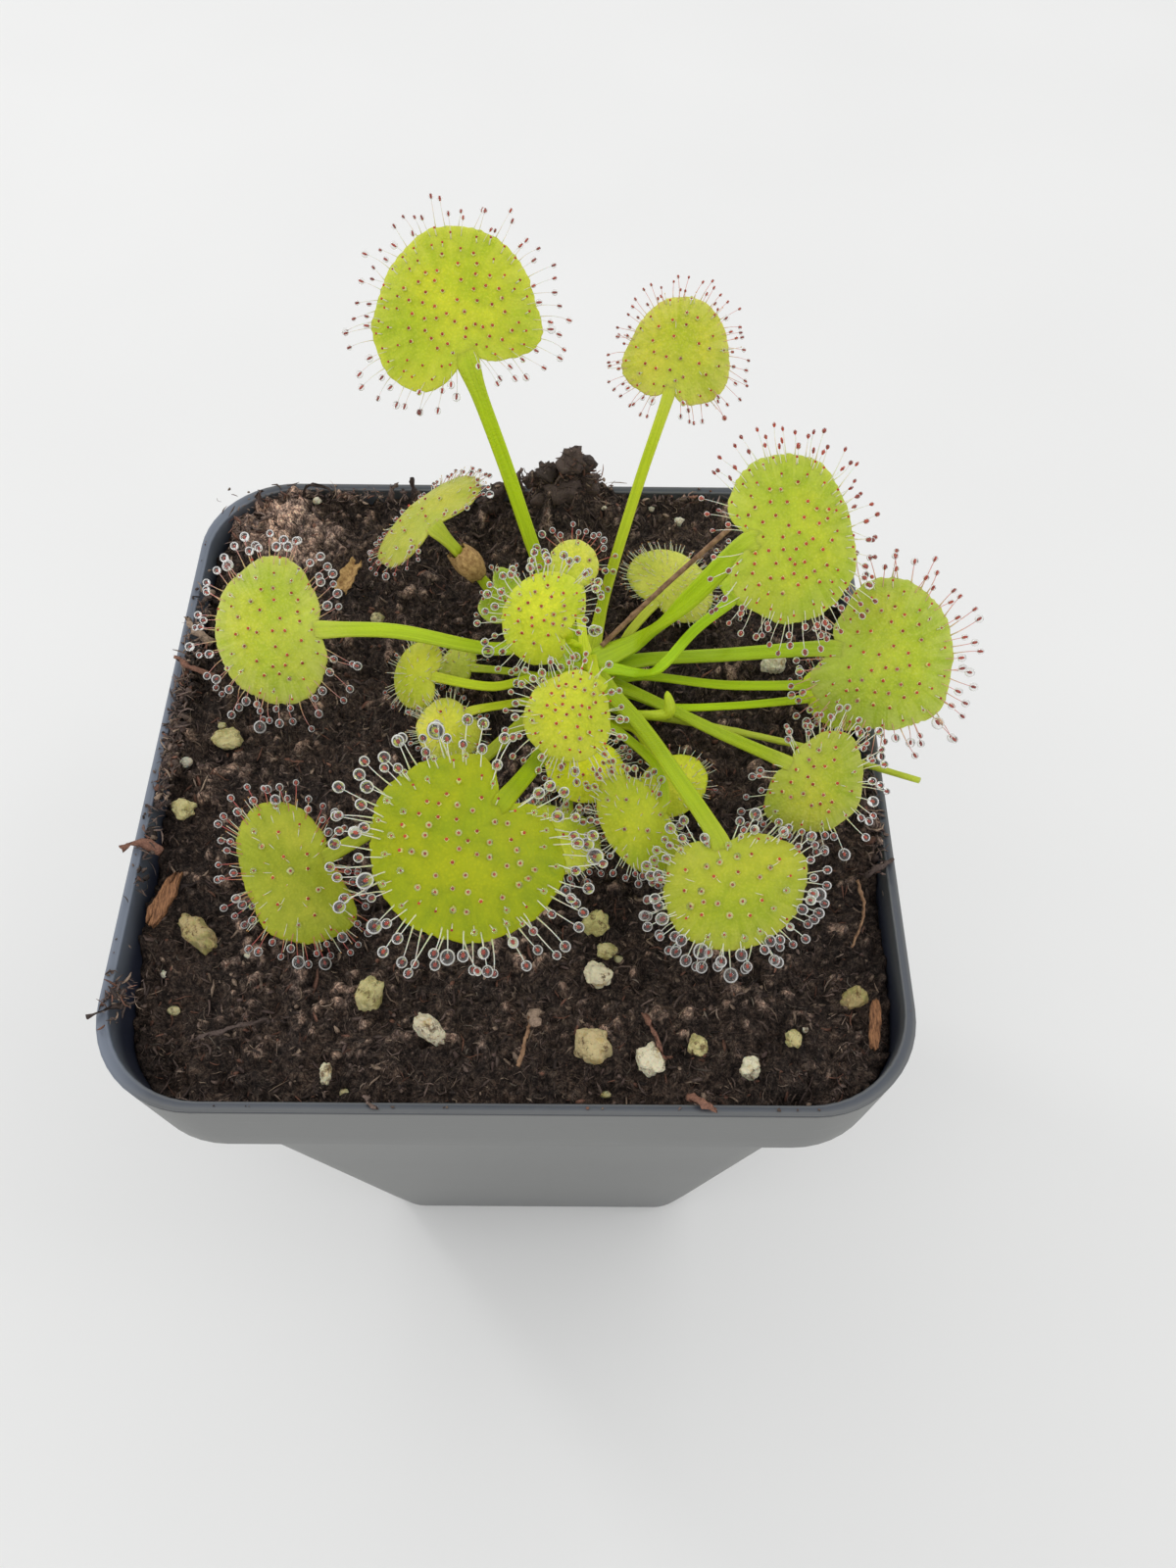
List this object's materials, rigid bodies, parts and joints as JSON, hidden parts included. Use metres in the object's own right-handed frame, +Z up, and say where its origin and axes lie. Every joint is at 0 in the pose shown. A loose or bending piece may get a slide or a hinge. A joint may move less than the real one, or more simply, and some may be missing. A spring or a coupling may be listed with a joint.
{
  "type": "sundew plant in a pot",
  "caption": "Rosette of a sundew with round sticky leaves on long stalks, growing in a deep tapered square plastic pot full of peat.",
  "frame": {"origin": "middle of the pot's flat base, on the surface that it stands on", "axes": "+Z up, +X to the right and -Y towards the pot's front, the side nearest the camera in the picture"},
  "size_m": [0.0859, 0.0866, 0.1417],
  "materials": {
    "pot_plastic": "moulded, slate grey, slightly dusty",
    "peat": "fibrous, damp, dull; stands for peat soil",
    "leaf": "living leaf, satin, translucent",
    "young_leaf": "living leaf, satin, yellower",
    "old_leaf": "living leaf, dull olive",
    "stem": "fleshy, dull",
    "dry_stalk": "dry, fibrous",
    "dry_leaf": "dry, papery",
    "perlite": "foamy, dull",
    "mossy_perlite": "foamy, tinted by algae",
    "bark": "rough, dull",
    "tentacle": "pale stalks with glossy red glands",
    "mucilage": "clear, wet"
  },
  "bodies": {
    "root": {"pot": "pot_plastic", "soil": "peat", "crown": "stem", "leaf_back_tall": "leaf", "leaf_back_right": "leaf", "leaf_upper_right": "leaf", "leaf_right": "leaf", "leaf_lower_right": "leaf", "leaf_front_right": "leaf", "leaf_front": "leaf", "leaf_front_left": "old_leaf", "leaf_left": "leaf", "leaf_back_left": "leaf", "leaf_centre_upper": "young_leaf", "leaf_centre": "young_leaf", "leaf_centre_back": "young_leaf", "leaf_left_small": "leaf", "leaf_left_low": "leaf", "leaf_back_low": "old_leaf", "leaf_front_centre": "leaf", "leaf_old_front": "old_leaf", "leaf_under_centre": "young_leaf", "leaf_under_front": "leaf", "leaf_behind_upper": "leaf", "leaf_left_hidden": "old_leaf", "leaf_under_right_a": "leaf", "leaf_under_right_b": "leaf", "leaf_young_pair": "leaf", "dead_stalk": "dry_stalk", "bare_stalk": "old_leaf", "young_hook": "young_leaf", "dead_collar": "dry_leaf", "grain_01": "mossy_perlite", "grain_02": "mossy_perlite", "grain_03": "mossy_perlite", "grain_04": "mossy_perlite", "grain_05": "perlite", "grain_06": "perlite", "grain_07": "mossy_perlite", "grain_08": "mossy_perlite", "grain_09": "perlite", "grain_10": "perlite", "grain_11": "perlite", "grain_12": "mossy_perlite", "grain_13": "perlite", "grain_14": "mossy_perlite", "grain_15": "mossy_perlite", "grain_16": "perlite", "bark_left": "bark", "bark_right": "bark", "leaf_scrap": "dry_leaf", "twig_front": "dry_stalk", "twig_right": "dry_stalk"}
  },
  "joints": []
}
